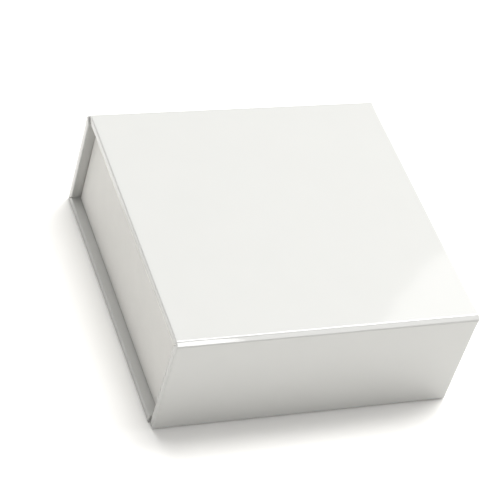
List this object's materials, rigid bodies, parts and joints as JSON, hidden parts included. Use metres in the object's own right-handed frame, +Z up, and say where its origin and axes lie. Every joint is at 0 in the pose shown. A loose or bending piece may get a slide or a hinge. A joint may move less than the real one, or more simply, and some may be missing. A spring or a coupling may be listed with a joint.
{
  "type": "jewelry gift box",
  "caption": "Rigid book-style gift box: a hinged lid and front flap closed by magnets, folded around a recessed tray with a padded jewelry insert.",
  "frame": {"origin": "middle of the closed box's underside", "axes": "+Z up, +Y from the flap at the front to the spine at the back, +X along the spine to the right as seen from the flap"},
  "size_m": [0.09, 0.09, 0.035],
  "materials": {
    "laminated_paper": "white paper under a clear gloss film",
    "lining_paper": "plain uncoated white paper",
    "stay_tape": "kraft paper tape",
    "greyboard": "raw recycled greyboard",
    "nickel_magnet": "nickel-plated disc",
    "foam": "soft open-cell foam",
    "pile_cloth": "short flocked pile"
  },
  "bodies": {
    "case_and_tray": {"base_board": "greyboard", "base_wrap": "laminated_paper", "spine_board": "greyboard", "spine_wrap": "laminated_paper", "tray_front_wall": "greyboard", "tray_back_wall": "greyboard", "tray_left_wall": "greyboard", "tray_right_wall": "greyboard", "tray_bottom": "greyboard", "tray_floor_lining": "lining_paper", "tray_wrap": "lining_paper", "corner_stay_front_left": "stay_tape", "corner_stay_front_right": "stay_tape", "corner_stay_back_left": "stay_tape", "corner_stay_back_right": "stay_tape", "tray_magnet_left": "nickel_magnet", "tray_magnet_right": "nickel_magnet", "insert_foam": "foam", "insert_cover": "pile_cloth"},
    "lid": {"lid_board": "greyboard", "lid_wrap": "laminated_paper", "lid_lining": "lining_paper", "back_crease": "laminated_paper"},
    "flap": {"flap_board": "greyboard", "flap_wrap": "laminated_paper", "flap_lining": "lining_paper", "flap_magnet_left": "nickel_magnet", "flap_magnet_right": "nickel_magnet", "front_crease": "laminated_paper"}
  },
  "joints": [
    {"name": "lid_hinge", "type": "hinge", "parent": "case_and_tray", "child": "lid", "pos_m": [0, 0.044, 0.034], "axis": [-1, 0, 0], "range_deg": [0, 180], "deforming": ["back_crease"]},
    {"name": "flap_hinge", "type": "hinge", "parent": "lid", "child": "flap", "pos_m": [0, -0.04435, 0.03435], "axis": [-1, 0, 0], "range_deg": [0, 180], "deforming": ["front_crease"]}
  ]
}
